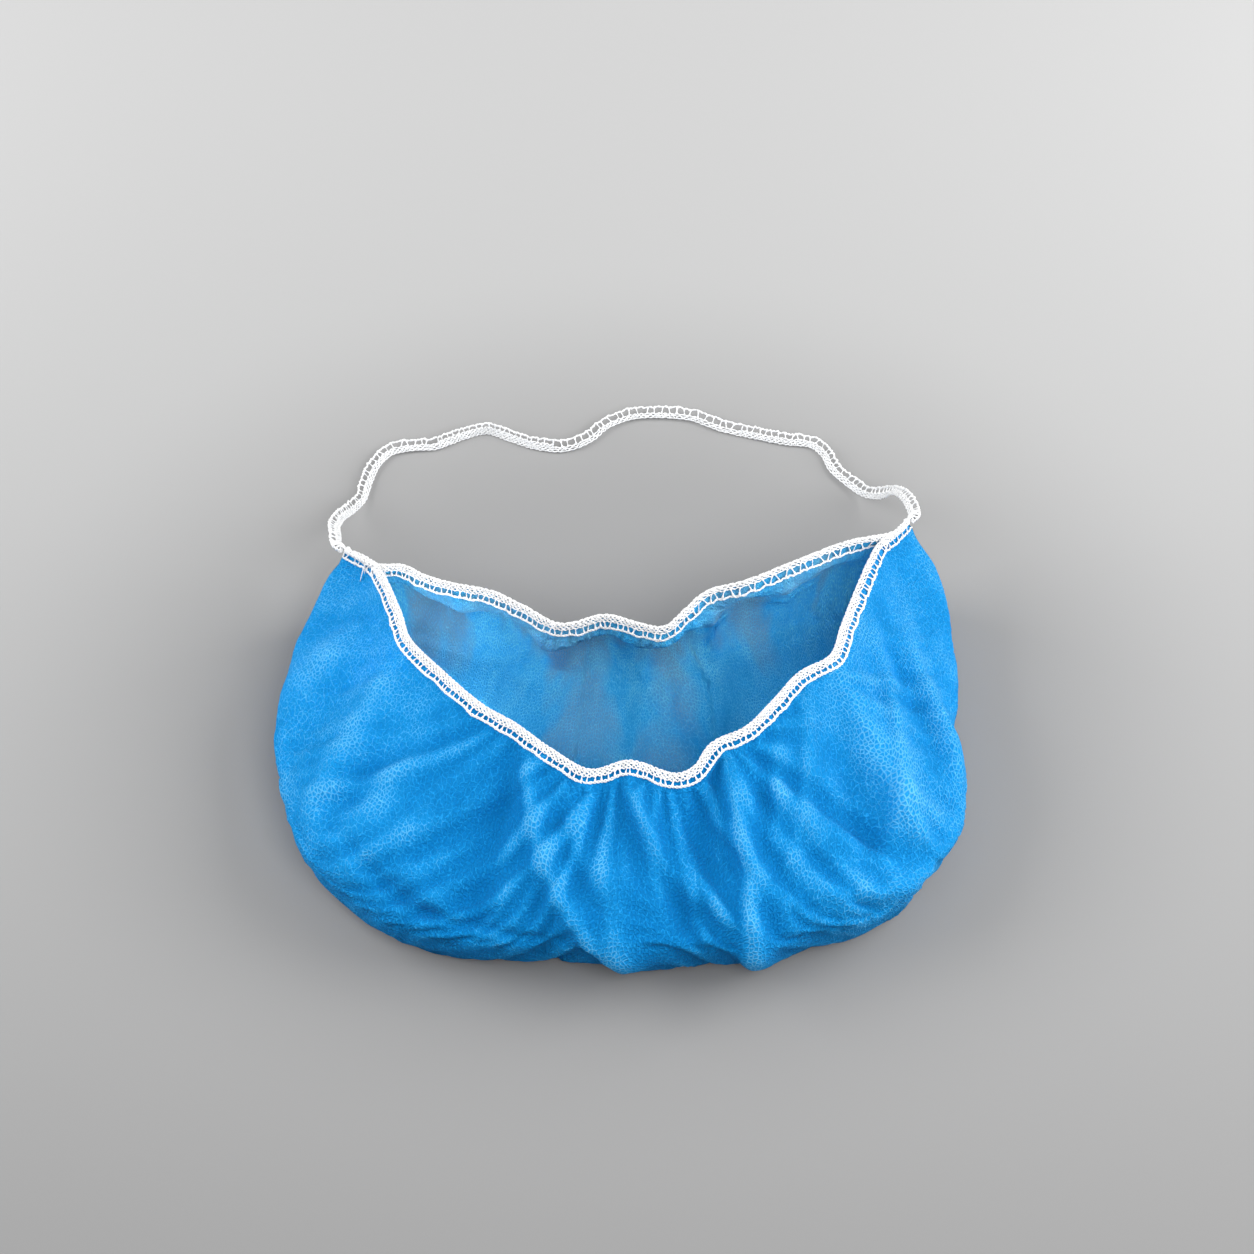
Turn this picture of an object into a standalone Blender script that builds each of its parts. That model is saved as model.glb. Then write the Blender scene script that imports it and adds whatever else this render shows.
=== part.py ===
"""Beard cover: a gathered cloth pouch with two elastic edgings and an elastic head loop.

The pouch lies on its underside with its crescent mouth up, and the loop lies behind it. X runs
along the mouth, +Y points from the front of the pouch to the loop, and Z is up. Units are metres,
and the origin is on the surface, under the middle of the pouch.
"""
import bpy
import bmesh
import numpy as np

# Cloth pouch
WALL = 0.0011               # thickness of the cloth wall
MOUTH_HALF_WIDTH = 0.108    # middle of the mouth to the tip of its farther corner, along X
MOUTH_DEPTH = 0.1155        # front of the mouth to the tip of its farther corner, along Y
MOUTH_HEIGHT = 0.050        # usual height of the mouth's edge above the surface
FRONT_SWELL = 0.0570        # how far the belly stands out in front of the mouth
SIDE_SWELL = 0.0175         # how far the belly stands out beside the mouth
BELLY_HEIGHT = 0.021        # height of the widest line of the belly
FOOT_INSET = 0.012          # how far the flat underside stays back from the belly
FOLD_HEIGHT = 0.0036        # height of the tallest fold
PLEAT_HEIGHT = 0.0008       # height of the small pleats under the edging

# Elastic edgings, folded over the cloth's edge
EDGING_DEPTH = 0.0050       # how far an edging reaches down the cloth
EDGING_CHEEK = 0.0006       # thickness of an edging on either side of the cloth
EDGING_ROOF = 0.0008        # thickness of an edging over the cloth's edge
CLEARANCE = 0.0003          # gap between pieces that touch
STRAIGHT_MARGIN = 0.0010    # how far the cloth stays straight below the edging

# Elastic head loop
LOOP_WIDTH = 0.0046         # width of the loop's band
LOOP_STEP = 2.0             # distance between the loop's points, in widths
LOOP_LEAD = 0.0030          # straight start of the loop at each corner

# Mesh steps
LIP_COLUMNS = 84            # columns of faces along each lip
SIDE_ROWS = 6               # rows of faces from the straight edge to the belly's widest line
UNDER_ROWS = 3              # rows of faces from the widest line to the underside

# Slope of the cloth under the edging, in degrees below the outward horizontal
NEAR_SLOPE = 24.0
FAR_SLOPE = 120.0
CORNER_SLOPE = 66.0
CORNER_FADE = 0.16          # share of a lip over which the corner's slope fades into the lip's
JOIN_SHARE = 0.05           # share of the near lip from a tip to the start of the front edging
BELLY_CORNER = 0.012        # share of a belly line that is left to the fold below a corner
FRONT_TURN = 0.06           # share by which the sides' cloth turns to the front on its way down

# Fullness of the curve from the edging to the belly, and from the belly to the underside
NEAR_FULLNESS = 0.42
FAR_FULLNESS = 0.24
BELLY_FULLNESS = 0.60
FOOT_FULLNESS = 0.58

# Closed corners of the mouth. In the mouth's tables across is a share of MOUTH_HALF_WIDTH, back
# of MOUTH_DEPTH and high of MOUTH_HEIGHT, and rows run from left to right
LEFT_TIP = (-0.947, 0.902, 0.84)
LEFT_ROOT = (-0.840, 0.820, 0.89)
RIGHT_TIP = (0.997, 1.000, 0.90)
RIGHT_ROOT = (0.942, 0.930, 0.95)

NEAR_LIP = [
    # across, back, high
    (-0.756, 0.627, 0.95),
    (-0.710, 0.498, 0.98),
    (-0.596, 0.368, 1.01),
    (-0.462, 0.240, 1.02),
    (-0.346, 0.166, 1.02),
    (-0.232, 0.082, 1.00),
    (-0.099, 0.011, 0.97),
    (0.034, 0.035, 1.00),
    (0.169, 0.000, 0.96),
    (0.247, 0.025, 0.97),
    (0.306, 0.102, 1.00),
    (0.417, 0.152, 1.03),
    (0.509, 0.249, 1.03),
    (0.596, 0.348, 1.04),
    (0.706, 0.417, 1.04),
    (0.752, 0.542, 1.02),
    (0.808, 0.686, 1.00),
    (0.884, 0.860, 0.96),
]

FAR_LIP = [
    # across, back, high
    (-0.742, 0.805, 0.92),
    (-0.665, 0.753, 0.95),
    (-0.571, 0.712, 0.98),
    (-0.432, 0.676, 0.99),
    (-0.327, 0.626, 0.97),
    (-0.199, 0.565, 0.94),
    (-0.051, 0.590, 0.97),
    (0.071, 0.564, 0.94),
    (0.154, 0.559, 0.93),
    (0.220, 0.615, 0.96),
    (0.300, 0.682, 0.98),
    (0.432, 0.720, 0.99),
    (0.603, 0.799, 0.99),
    (0.779, 0.886, 0.96),
]

# Widest line of the belly, from the left corner to the right one. Across and back run from -1
# to 1 over the pouch's plan
FRONT_BELLY = [
    # across, back
    (-0.885, 0.865),
    (-0.928, 0.700),
    (-0.965, 0.520),
    (-0.997, 0.300),
    (-1.005, 0.060),
    (-0.983, -0.140),
    (-0.948, -0.340),
    (-0.885, -0.535),
    (-0.750, -0.735),
    (-0.605, -0.875),
    (-0.400, -0.945),
    (-0.110, -0.958),
    (0.100, -0.985),
    (0.270, -0.975),
    (0.450, -0.947),
    (0.560, -0.885),
    (0.660, -0.850),
    (0.785, -0.755),
    (0.880, -0.590),
    (0.965, -0.370),
    (0.993, -0.130),
    (0.976, 0.080),
    (0.995, 0.260),
    (0.990, 0.600),
    (0.975, 0.830),
    (0.942, 0.955),
]
BACK_BELLY = [
    # across, back
    (-0.885, 0.865),
    (-0.700, 0.880),
    (-0.500, 0.795),
    (-0.330, 0.680),
    (-0.160, 0.590),
    (0.020, 0.575),
    (0.150, 0.570),
    (0.290, 0.700),
    (0.470, 0.810),
    (0.680, 0.925),
    (0.830, 0.990),
    (0.942, 0.955),
]

# Folds of the front and the back. At and width are shares along the lip, drift is how far the
# fold has moved along by the underside, height is a share of FOLD_HEIGHT (a valley's is below
# 0), and start and end are shares of the way down
FRONT_FOLDS = [
    # at, drift, width, height, start, end
    (0.100, -0.050, 0.020, 0.70, 0.10, 0.48),
    (0.137, -0.020, 0.018, -0.65, 0.00, 0.50),
    (0.180, -0.015, 0.020, 1.00, 0.00, 0.46),
    (0.215, -0.050, 0.014, -0.60, 0.05, 0.50),
    (0.255, -0.090, 0.018, 0.85, 0.12, 0.50),
    (0.305, -0.140, 0.016, 0.50, 0.20, 0.55),
    (0.165, 0.290, 0.016, 0.40, 0.38, 0.65),
    (0.125, 0.180, 0.015, -0.80, 0.35, 0.68),
    (0.350, -0.060, 0.026, -0.90, 0.00, 0.60),
    (0.379, 0.105, 0.019, 1.00, 0.00, 0.62),
    (0.428, 0.045, 0.017, 0.60, 0.00, 0.50),
    (0.452, 0.075, 0.016, 0.60, 0.20, 0.75),
    (0.490, 0.160, 0.020, 0.75, 0.00, 0.60),
    (0.553, 0.030, 0.024, -1.00, 0.00, 0.60),
    (0.603, 0.028, 0.020, 1.00, 0.00, 0.62),
    (0.640, 0.010, 0.020, -0.45, 0.06, 0.50),
    (0.662, -0.040, 0.016, 0.55, 0.00, 0.40),
    (0.704, -0.070, 0.017, 0.60, 0.00, 0.40),
    (0.732, 0.000, 0.018, -0.75, 0.08, 0.50),
    (0.760, 0.075, 0.016, 0.90, 0.00, 0.50),
    (0.845, -0.190, 0.016, 0.90, 0.00, 0.50),
    (0.890, -0.250, 0.016, -0.60, 0.00, 0.40),
    (0.870, 0.040, 0.018, 0.70, 0.10, 0.52),
    (0.555, 0.310, 0.034, 0.65, 0.40, 0.60),
]
BACK_FOLDS = [
    # at, drift, width, height, start, end
    (0.140, 0.000, 0.028, 0.55, 0.00, 0.90),
    (0.215, 0.010, 0.020, -0.45, 0.00, 0.80),
    (0.285, 0.010, 0.024, 0.60, 0.00, 0.95),
    (0.365, 0.020, 0.020, -0.65, 0.00, 0.75),
    (0.450, 0.000, 0.026, 0.50, 0.00, 1.00),
    (0.550, 0.000, 0.024, 0.50, 0.00, 0.95),
    (0.625, 0.000, 0.020, -0.70, 0.00, 0.80),
    (0.695, 0.000, 0.022, 0.55, 0.00, 0.95),
    (0.765, -0.010, 0.018, -0.45, 0.00, 0.70),
    (0.850, 0.000, 0.028, 0.55, 0.00, 0.90),
]
FOLD_FADE = 0.18            # share of the way down over which a fold begins or ends
CORNER_CALM = 0.05          # share of a lip, at each corner, over which the folds die out
PLEAT_WAVES = ((17, 0.3), (23, 1.9))    # pleats along a lip, and where their waves start

# Route of the head loop between its straight ends, from the left corner to the right one
LOOP_ROUTE = [
    (-0.1070, 0.0853, 0.0364),
    (-0.1088, 0.0963, 0.0275),
    (-0.1083, 0.1088, 0.0175),
    (-0.1060, 0.1195, 0.0085),
    (-0.1027, 0.1290, 0.0036),
    (-0.1010, 0.1385, 0.0024),
    (-0.0985, 0.1470, 0.0024),
    (-0.0935, 0.1540, 0.0024),
    (-0.0855, 0.1570, 0.0024),
    (-0.0745, 0.1579, 0.0024),
    (-0.0640, 0.1628, 0.0024),
    (-0.0537, 0.1658, 0.0024),
    (-0.0445, 0.1622, 0.0024),
    (-0.0340, 0.1580, 0.0024),
    (-0.0225, 0.1568, 0.0024),
    (-0.0130, 0.1612, 0.0024),
    (-0.0060, 0.1684, 0.0024),
    (0.0040, 0.1735, 0.0024),
    (0.0160, 0.1747, 0.0024),
    (0.0300, 0.1730, 0.0024),
    (0.0409, 0.1677, 0.0024),
    (0.0540, 0.1638, 0.0024),
    (0.0670, 0.1605, 0.0024),
    (0.0778, 0.1588, 0.0024),
    (0.0832, 0.1533, 0.0024),
    (0.0860, 0.1460, 0.0024),
    (0.0910, 0.1395, 0.0026),
    (0.0968, 0.1325, 0.0042),
    (0.1016, 0.1268, 0.0090),
    (0.1054, 0.1213, 0.0170),
    (0.1070, 0.1145, 0.0260),
    (0.1083, 0.1065, 0.0345),
    (0.1098, 0.0980, 0.0408),
]


def smooth_curve(rows, steps=12):
    """Points along a smooth curve through the rows, ends included."""
    rows = np.array(rows, float)
    padded = np.vstack([2 * rows[0] - rows[1], rows, 2 * rows[-1] - rows[-2]])
    points = []
    for before, start, end, after in zip(padded, padded[1:], padded[2:], padded[3:]):
        for share in np.arange(steps) / steps:
            points.append(0.5 * (2 * start + (end - before) * share
                                 + (2 * before - 5 * start + 4 * end - after) * share ** 2
                                 + (3 * start - before - 3 * end + after) * share ** 3))
    return np.array(points + [rows[-1]])


def length_along(points):
    steps = np.linalg.norm(np.diff(points, axis=0), axis=1)
    return np.concatenate([[0.0], np.cumsum(steps)])


def at_shares(points, shares):
    """Points at the given shares of a curve's length."""
    reach = length_along(points)
    return np.stack([np.interp(np.asarray(shares) * reach[-1], reach, axis) for axis in points.T], 1)


def unit(vectors):
    return vectors / np.linalg.norm(vectors, axis=-1, keepdims=True)


def eased(share):
    """Share from 0 to 1 with a soft start and end."""
    share = np.clip(share, 0.0, 1.0)
    return share * share * (3.0 - 2.0 * share)


def to_the_right(runs):
    """Level vectors that point to the right of the given runs."""
    return unit(np.stack([runs[:, 1], -runs[:, 0], np.zeros(len(runs))], 1))


def around(values):
    """Mean of each segment of a ring and the one before it, made a unit vector again."""
    return unit(values + np.roll(values, 1, axis=0))


def curve_down(start, lead, end, rise, shares):
    """Points of a curve for each column: it leaves start along lead and reaches end along rise."""
    shares = np.asarray(shares)[:, None, None]
    return ((1 - shares) ** 3 * start + 3 * (1 - shares) ** 2 * shares * (start + lead)
            + 3 * (1 - shares) * shares ** 2 * (end + rise) + shares ** 3 * end)


def mouth_point(row):
    return np.array(row) * (MOUTH_HALF_WIDTH, MOUTH_DEPTH, MOUTH_HEIGHT)


def lip_curve(rows, side):
    """Edge of one layer of the cloth from tip to tip. Side is -1 for the near lip, 1 for the far."""
    left_tip, left_root, right_tip, right_root = (
        mouth_point(row) for row in (LEFT_TIP, LEFT_ROOT, RIGHT_TIP, RIGHT_ROOT))
    runs = np.array([left_root - left_tip, right_tip - right_root])
    left_aside, right_aside = to_the_right(runs) * -side * corner_width / 2
    return smooth_curve([left_tip + left_aside, left_root + left_aside]
                        + [mouth_point(row) for row in rows]
                        + [right_root + right_aside, right_tip + right_aside])


def belly_curve(rows):
    half = ((MOUTH_HALF_WIDTH + SIDE_SWELL), (MOUTH_DEPTH + FRONT_SWELL) / 2)
    middle = (0.0, (MOUTH_DEPTH - FRONT_SWELL) / 2)
    plan = np.array(rows) * half + middle
    return smooth_curve(np.column_stack([plan, np.full(len(plan), BELLY_HEIGHT)]))


def fold_heights(folds, along, down):
    """Height of the folds and pleats at each share down the cloth and along the lip."""
    along, down = along[None, :], down[:, None]
    heights = np.zeros((down.shape[0], along.shape[1]))
    for at, drift, width, height, start, end in folds:
        ridge = np.exp(-((along - at - drift * down) / width) ** 2)
        fade = eased((down - start) / FOLD_FADE) * eased((end + FOLD_FADE - down) / FOLD_FADE)
        heights += FOLD_HEIGHT * height * ridge * fade
    pleats = sum(np.sin(2 * np.pi * count * along + phase) for count, phase in PLEAT_WAVES)
    heights += PLEAT_HEIGHT * pleats * eased(down / 0.1) * (1 - eased(down / 0.55))
    return heights * eased(np.minimum(along, 1 - along) / CORNER_CALM)


def add_object(name, corners, faces, colour, roughness):
    """A smooth-shaded mesh object with its own plain material."""
    mesh = bpy.data.meshes.new(name)
    mesh.from_pydata([tuple(corner) for corner in corners], [], faces)
    shell = bmesh.new()
    shell.from_mesh(mesh)
    bmesh.ops.triangulate(shell, faces=shell.faces[:])
    bmesh.ops.recalc_face_normals(shell, faces=shell.faces[:])
    shell.to_mesh(mesh)
    shell.free()
    mesh.shade_smooth()
    item = bpy.data.objects.new(name, mesh)
    bpy.context.scene.collection.objects.link(item)
    mesh.materials.append(plain_material(name, colour, roughness))


def plain_material(name, colour, roughness):
    material = bpy.data.materials.new(name)
    material.use_nodes = True
    shader = material.node_tree.nodes["Principled BSDF"]
    shader.inputs["Base Color"].default_value = (*colour, 1.0)
    shader.inputs["Roughness"].default_value = roughness
    shader.inputs["Metallic"].default_value = 0.0
    material.diffuse_color = (*colour, 1.0)
    return material


for item in list(bpy.data.objects):
    bpy.data.objects.remove(item)

# The rim of the cloth is a ring: along the near lip to the right, back along the far lip. At
# each closed corner its two layers leave room for an edging between them
corner_width = 2 * WALL + 2 * EDGING_CHEEK + 4 * CLEARANCE
along = np.linspace(0.0, 1.0, LIP_COLUMNS + 1)
ring_along = np.concatenate([along, along[::-1]])
rim = np.vstack([at_shares(lip_curve(NEAR_LIP, -1), along),
                 at_shares(lip_curve(FAR_LIP, 1), along)[::-1]])

# Below the edging the cloth runs straight, steep at the corners and flatter along the near lip
runs = unit(np.roll(rim, -1, axis=0) - rim)
outward = around(to_the_right(runs))
for _ in range(2):
    outward = unit(np.roll(outward, 1, axis=0) + 2 * outward + np.roll(outward, -1, axis=0))
lip_slope = np.repeat([NEAR_SLOPE, FAR_SLOPE], LIP_COLUMNS + 1)
inside_corner = eased(np.minimum(ring_along, 1 - ring_along) / CORNER_FADE)
slope = np.radians(CORNER_SLOPE + (lip_slope - CORNER_SLOPE) * inside_corner)
down = outward * np.cos(slope)[:, None]
down[:, 2] = -np.sin(slope)
strip_normals = unit(np.cross(around(np.roll(down, -1, axis=0)), runs))
normals = strip_normals + np.roll(strip_normals, 1, axis=0)
normals /= 0.5 * np.sum(normals ** 2, axis=1, keepdims=True)
straight_end = rim + down * (EDGING_DEPTH + STRAIGHT_MARGIN)

# The belly, and the foot where the cloth meets the surface
belly_along = BELLY_CORNER + along * (1 - 2 * BELLY_CORNER)
turned_along = belly_along + FRONT_TURN * np.sin(2 * np.pi * along)
belly = np.vstack([at_shares(belly_curve(FRONT_BELLY), turned_along),
                   at_shares(belly_curve(BACK_BELLY), belly_along)[::-1]])
belly_outward = around(to_the_right(unit(np.roll(belly, -1, axis=0) - belly)))
foot = belly - belly_outward * FOOT_INSET
foot[:, 2] = 0.0

# Rows of the outer face, from the rim to the foot
upright = np.array([0.0, 0.0, 1.0])
to_belly = belly - straight_end
lip_fullness = np.repeat([NEAR_FULLNESS, FAR_FULLNESS], LIP_COLUMNS + 1)[:, None]
shoulder = unit(to_belly * (1, 1, 0)) * np.cos(slope)[:, None] + upright * down[:, 2:]
shoulder *= np.linalg.norm(to_belly, axis=1, keepdims=True) * lip_fullness
side = curve_down(straight_end, shoulder, belly, -upright * to_belly[:, 2:] * BELLY_FULLNESS,
                  np.arange(SIDE_ROWS + 1) / SIDE_ROWS)
under = curve_down(belly, -upright * BELLY_HEIGHT * BELLY_FULLNESS, foot,
                   belly_outward * FOOT_INSET * FOOT_FULLNESS, np.arange(1, UNDER_ROWS + 1) / UNDER_ROWS)
outer = np.concatenate([rim[None], side, under])


def row_normals(rows):
    """Outward normals of the wall at each point."""
    lengthways = np.roll(rows, -1, axis=1) - np.roll(rows, 1, axis=1)
    crossways = np.gradient(rows, axis=0)
    return unit(np.cross(crossways, lengthways))


rows_down = np.linspace(0.0, 1.0, SIDE_ROWS + UNDER_ROWS + 1)
heights = np.hstack([fold_heights(FRONT_FOLDS, along, rows_down),
                     fold_heights(BACK_FOLDS, along, rows_down)[:, ::-1]])
push = row_normals(outer)[1:] * heights[:, :, None]
push[-1, :, 2] = 0.0
outer[1:] += push

# Inner face, one wall inside the outer one
inward = row_normals(outer)
inward[:2] = normals
inner = outer - inward * WALL
inner[-1, :, 2] = WALL

# Pouch: both faces, the rim between them, and the flat underside in two layers
pouch_rows = np.concatenate([outer[::-1], inner])
ring_size = outer.shape[1]
pouch_faces = []
for row in range(len(pouch_rows) - 1):
    for column in range(ring_size):
        after = (column + 1) % ring_size
        pouch_faces.append((row * ring_size + column, row * ring_size + after,
                            (row + 1) * ring_size + after, (row + 1) * ring_size + column))
for first in (0, (len(pouch_rows) - 1) * ring_size):
    for column in range(LIP_COLUMNS):
        across = ring_size - 1 - column
        pouch_faces.append((first + column, first + column + 1, first + across - 1, first + across))


def edging_section(column, shift=0.0):
    """Section of an edging over the cloth's edge; shift moves it on along the rim."""
    edge = rim[column] + runs[column if shift >= 0 else column - 1] * shift
    low = edge + down[column] * EDGING_DEPTH
    normal = normals[column]
    slot_roof = edge - down[column] * CLEARANCE
    roof = slot_roof - down[column] * EDGING_ROOF
    slot_out = normal * CLEARANCE
    slot_in = -normal * (WALL + CLEARANCE)
    cheek = normal * EDGING_CHEEK
    return [roof + slot_out + cheek, low + slot_out + cheek, low + slot_out, slot_roof + slot_out,
            slot_roof + slot_in, low + slot_in, low + slot_in - cheek, roof + slot_in - cheek]


def edging_mesh(sections):
    corners = [corner for section in sections for corner in section]
    size = len(sections[0])
    faces = []
    for start in range(0, len(corners) - size, size):
        for side in range(size):
            after = (side + 1) % size
            faces.append((start + side, start + after, start + size + after, start + size + side))
    last = len(corners) - size
    for first, turn in ((0, -1), (last, 1)):
        for cap in ((0, 1, 2, 3), (0, 3, 4, 7), (4, 5, 6, 7)):
            faces.append(tuple(first + corner for corner in cap[::turn]))
    return corners, faces


join = round(JOIN_SHARE * LIP_COLUMNS)
near_end = LIP_COLUMNS - join
front_sections = ([edging_section(join, CLEARANCE)]
                  + [edging_section(column) for column in range(join + 1, near_end)]
                  + [edging_section(near_end, -CLEARANCE)])
back_sections = [edging_section(column % ring_size) for column in range(near_end, ring_size + join + 1)]

# The origin goes under the middle of the pouch with its edgings
body = np.vstack([pouch_rows.reshape(-1, 3), np.array(front_sections).reshape(-1, 3),
                  np.array(back_sections).reshape(-1, 3)])
middle = (body.min(axis=0) + body.max(axis=0)) / 2 * (1, 1, 0)

CLOTH_BLUE = (0.045, 0.330, 0.800)
ELASTIC_WHITE = (0.860, 0.870, 0.880)
add_object("pouch", pouch_rows.reshape(-1, 3) - middle, pouch_faces, CLOTH_BLUE, 0.75)
for name, sections in (("front_edging", front_sections), ("back_edging", back_sections)):
    corners, faces = edging_mesh(sections)
    add_object(name, np.array(corners) - middle, faces, ELASTIC_WHITE, 0.80)


def corner_seat(first, second):
    """Point outside the edging at a closed corner, and the direction straight out from it."""
    edge = (rim[first] + rim[second]) / 2 + unit(down[first] + down[second]) * EDGING_DEPTH / 2
    away = strip_normals[first]
    return edge + away * (2 * CLEARANCE + EDGING_CHEEK) - middle, away


left_seat, left_away = corner_seat(ring_size - 1, 0)
right_seat, right_away = corner_seat(LIP_COLUMNS, LIP_COLUMNS + 1)
loop_path = smooth_curve([left_seat + left_away * LOOP_LEAD] + LOOP_ROUTE
                         + [right_seat + right_away * LOOP_LEAD])
loop_count = round(length_along(loop_path)[-1] / (LOOP_STEP * LOOP_WIDTH))
loop_points = np.vstack([left_seat, at_shares(loop_path, np.linspace(0.0, 1.0, loop_count + 1)),
                         right_seat])

loop_curve = bpy.data.curves.new("head_loop", "CURVE")
loop_curve.dimensions = "3D"
loop_curve.bevel_depth = LOOP_WIDTH / 2
loop_curve.bevel_resolution = 2
loop_curve.use_fill_caps = True
spline = loop_curve.splines.new("POLY")
spline.points.add(len(loop_points) - 1)
for point, place in zip(spline.points, loop_points):
    point.co = (*place, 1.0)
loop_curve.materials.append(plain_material("head_loop", ELASTIC_WHITE, 0.80))
head_loop = bpy.data.objects.new("head_loop", loop_curve)
bpy.context.scene.collection.objects.link(head_loop)
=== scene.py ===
import bpy
import numpy as np
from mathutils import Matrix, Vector, noise


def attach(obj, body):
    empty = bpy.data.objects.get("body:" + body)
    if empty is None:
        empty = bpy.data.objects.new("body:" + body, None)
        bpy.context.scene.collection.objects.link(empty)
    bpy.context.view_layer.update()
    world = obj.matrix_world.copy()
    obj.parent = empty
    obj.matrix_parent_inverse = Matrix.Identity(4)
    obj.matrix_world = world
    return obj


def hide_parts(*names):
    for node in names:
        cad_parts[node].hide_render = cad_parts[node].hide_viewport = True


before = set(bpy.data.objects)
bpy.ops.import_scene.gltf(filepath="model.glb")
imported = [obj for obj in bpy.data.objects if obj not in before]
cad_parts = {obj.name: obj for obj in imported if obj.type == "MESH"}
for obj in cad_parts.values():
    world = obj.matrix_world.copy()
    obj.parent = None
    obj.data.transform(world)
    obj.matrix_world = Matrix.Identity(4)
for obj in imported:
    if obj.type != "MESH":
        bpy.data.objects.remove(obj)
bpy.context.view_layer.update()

# The pouch is one piece of thin blue spunbond cloth, embossed all over with a fine net. It is
# drawn in by the elastic on both lips, so it hangs in pleats from them, swells into a belly and
# lies on its underside.
WALL = 0.0011                       # wall of the plain solid that this cloth stands for
MOUTH = (0.108, 0.1155, 0.050)      # half width, depth and usual height of the mouth
SWELL = (0.0175, 0.0570)            # how far the belly stands out beside and before the mouth
BELLY_HEIGHT = 0.021                # of the widest line over the surface
FOOT_INSET = 0.012                  # from the widest line in to where the cloth meets the surface
EDGE_DEPTH = 0.0060                 # cloth that runs straight under the edging
CORNER_GAP = 0.0011                 # between the two layers of cloth in a closed corner
CLOTH_THICKNESS = 0.0003
OFF_FLOOR = 0.0004                  # from the surface up to the middle of the cloth that lies on it
MIDDLE = np.array([-0.00060, 0.03122, 0.0])    # the row frame's origin in the tables' frame

LIP_COLUMNS = 320
CORNER_COLUMNS = 2
EDGE_ROWS = 5
SIDE_ROWS = 50
UNDER_ROWS = 8
FLOOR_ROWS = 8

LEFT_TIP, LEFT_ROOT = (-0.947, 0.902, 0.84), (-0.840, 0.820, 0.89)
RIGHT_TIP, RIGHT_ROOT = (0.997, 1.000, 0.90), (0.942, 0.930, 0.95)
NEAR_LIP = [
    # across, back, high
    (-0.756, 0.627, 0.95),
    (-0.710, 0.498, 0.98),
    (-0.596, 0.368, 1.01),
    (-0.462, 0.240, 1.02),
    (-0.346, 0.166, 1.02),
    (-0.232, 0.082, 1.00),
    (-0.099, 0.011, 0.97),
    (0.034, 0.035, 1.00),
    (0.169, 0.000, 0.96),
    (0.247, 0.025, 0.97),
    (0.306, 0.102, 1.00),
    (0.417, 0.152, 1.03),
    (0.509, 0.249, 1.03),
    (0.596, 0.348, 1.04),
    (0.706, 0.417, 1.04),
    (0.752, 0.542, 1.02),
    (0.808, 0.686, 1.00),
    (0.884, 0.860, 0.96),
]
FAR_LIP = [
    # across, back, high
    (-0.742, 0.805, 0.92),
    (-0.665, 0.753, 0.95),
    (-0.571, 0.712, 0.98),
    (-0.432, 0.676, 0.99),
    (-0.327, 0.626, 0.97),
    (-0.199, 0.565, 0.94),
    (-0.051, 0.590, 0.97),
    (0.071, 0.564, 0.94),
    (0.154, 0.559, 0.93),
    (0.220, 0.615, 0.96),
    (0.300, 0.682, 0.98),
    (0.432, 0.720, 0.99),
    (0.603, 0.799, 0.99),
    (0.779, 0.886, 0.96),
]
FRONT_BELLY = [
    # across, back
    (-0.885, 0.865),
    (-0.928, 0.700),
    (-0.965, 0.520),
    (-0.997, 0.300),
    (-1.005, 0.060),
    (-0.983, -0.140),
    (-0.948, -0.340),
    (-0.885, -0.535),
    (-0.750, -0.735),
    (-0.605, -0.875),
    (-0.400, -0.945),
    (-0.110, -0.958),
    (0.100, -0.985),
    (0.270, -0.975),
    (0.450, -0.947),
    (0.560, -0.885),
    (0.660, -0.850),
    (0.785, -0.755),
    (0.880, -0.590),
    (0.965, -0.370),
    (0.993, -0.130),
    (0.976, 0.080),
    (0.995, 0.260),
    (0.990, 0.600),
    (0.975, 0.830),
    (0.942, 0.955),
]
BACK_BELLY = [
    # across, back
    (-0.885, 0.865),
    (-0.700, 0.880),
    (-0.500, 0.795),
    (-0.330, 0.680),
    (-0.160, 0.590),
    (0.020, 0.575),
    (0.150, 0.570),
    (0.290, 0.700),
    (0.470, 0.810),
    (0.680, 0.925),
    (0.830, 0.990),
    (0.942, 0.955),
]
# Slope of the cloth under the edging, in degrees below the outward horizontal
NEAR_SLOPE, FAR_SLOPE, CORNER_SLOPE, CORNER_FADE = 24.0, 120.0, 66.0, 0.16
# How far the cloth runs on from each line before it bends, as shares of the way
NEAR_FULLNESS, FAR_FULLNESS, BELLY_FULLNESS, FOOT_FULLNESS = 0.42, 0.24, 0.60, 0.58
BELLY_CORNER = 0.012                # share of the widest line that each closed corner takes up
FRONT_TURN = 0.03                   # how far the front turns to the middle on its way down
LIP_CORNER = 0.01                   # share of the lip that the columns round a corner count as
RIM_PASSES, BELLY_PASSES = 26, 6    # times that the directions round the rim and belly are evened out
EDGE_SHARE = 0.1                    # the cloth under the edging counts as this share of the way down
BELLY_SHARE = 2 / 3                 # share of the way down, past the edging, at the widest line


def smooth_curve(rows, steps=12):
    """Points along a smooth curve through the rows, ends included."""
    rows = np.array(rows, float)
    padded = np.vstack([2 * rows[0] - rows[1], rows, 2 * rows[-1] - rows[-2]])
    points = []
    for before, start, end, after in zip(padded, padded[1:], padded[2:], padded[3:]):
        for share in np.arange(steps) / steps:
            points.append(0.5 * (2 * start + (end - before) * share
                                 + (2 * before - 5 * start + 4 * end - after) * share ** 2
                                 + (3 * start - before - 3 * end + after) * share ** 3))
    return np.array(points + [rows[-1]])


def length_along(points):
    steps = np.linalg.norm(np.diff(points, axis=0), axis=1)
    return np.concatenate([[0.0], np.cumsum(steps)])


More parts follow.
